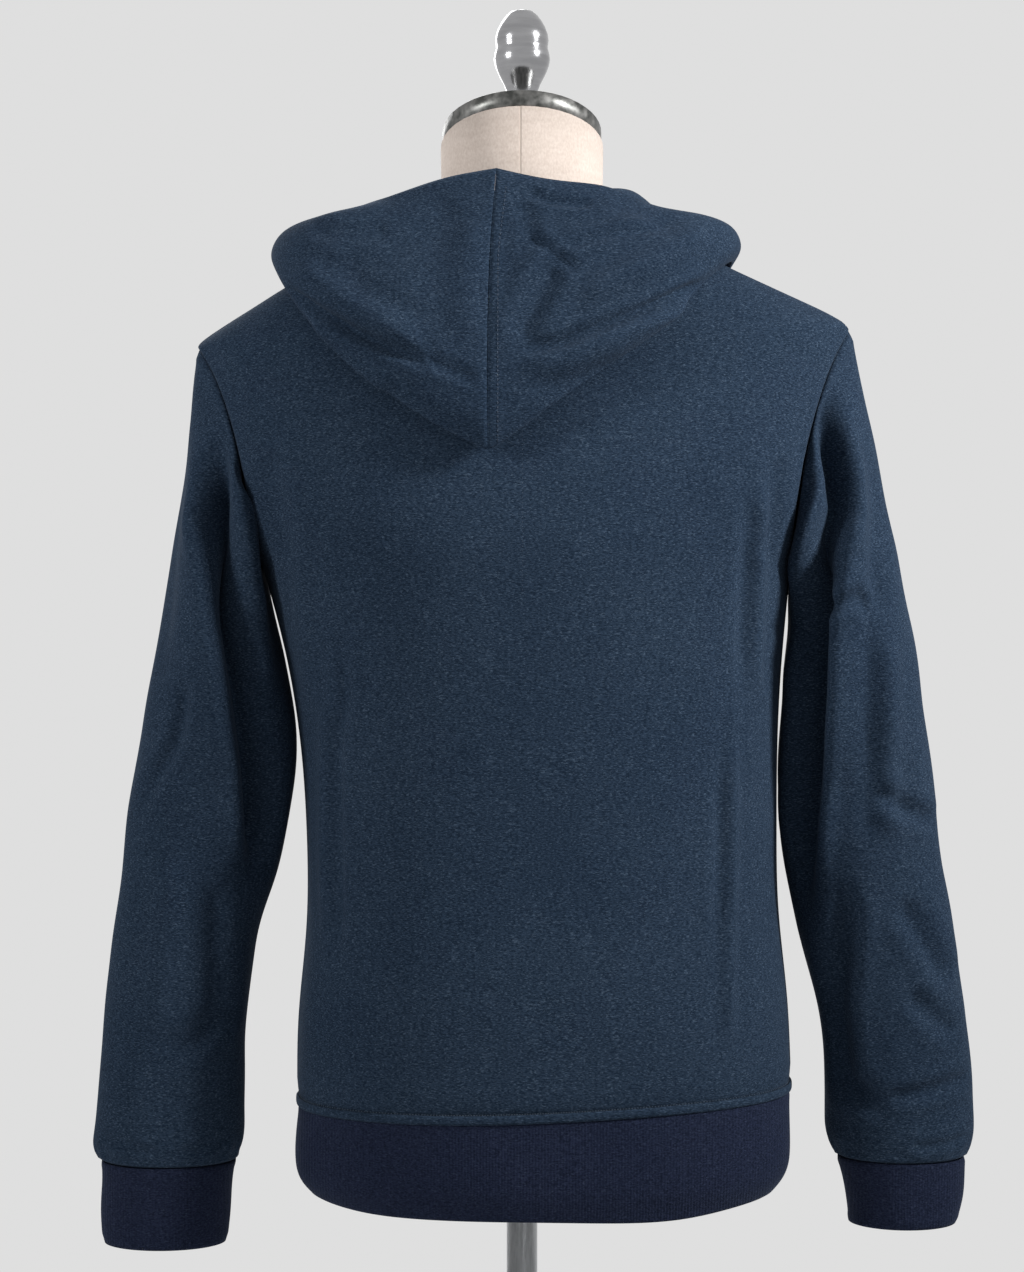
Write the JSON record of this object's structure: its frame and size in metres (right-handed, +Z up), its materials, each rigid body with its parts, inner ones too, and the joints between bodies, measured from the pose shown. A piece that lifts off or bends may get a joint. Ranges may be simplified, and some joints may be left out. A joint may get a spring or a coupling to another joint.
{
  "type": "full-zip hooded sweater on a dress form",
  "caption": "Hooded full-zip knit sweater with ribbed cuffs and hem, hood thrown back, worn on a limbless dress form with a steel neck cap, finial and round stand.",
  "frame": {"origin": "centre of the base plate's underside", "axes": "+Z up along the pole, +Y towards the wearer's back, +X towards the wearer's left"},
  "size_m": [0.638, 0.3, 1.04],
  "materials": {
    "knit": "heathered fine knit",
    "rib": "fine rib knit",
    "zip_tape": "woven",
    "zip_teeth": "satin",
    "zip_metal": "satin",
    "linen": "plain weave",
    "cap_steel": "brushed, mottled",
    "finial_steel": "turned and polished",
    "stand_steel": "brushed"
  },
  "bodies": {
    "stand": {"back_panel": "knit", "front_left": "knit", "front_right": "knit", "hem_band": "rib", "sleeve_left": "knit", "sleeve_right": "knit", "cuff_left": "rib", "cuff_right": "rib", "hood_left": "knit", "hood_right": "knit", "zip_tape_left": "zip_tape", "zip_tape_right": "zip_tape", "zip_chain": "zip_teeth", "zip_slider": "zip_metal", "form_torso": "linen", "neck_cap": "cap_steel", "finial": "finial_steel", "pole": "stand_steel", "base_plate": "stand_steel"},
    "pull": {"pull_tab": "zip_metal"}
  },
  "joints": [
    {"name": "pull_swing", "type": "hinge", "parent": "stand", "child": "pull", "pos_m": [-0.0015, -0.09755, 0.80039], "axis": [1, 0, 0], "range_deg": [-120, 0]}
  ]
}
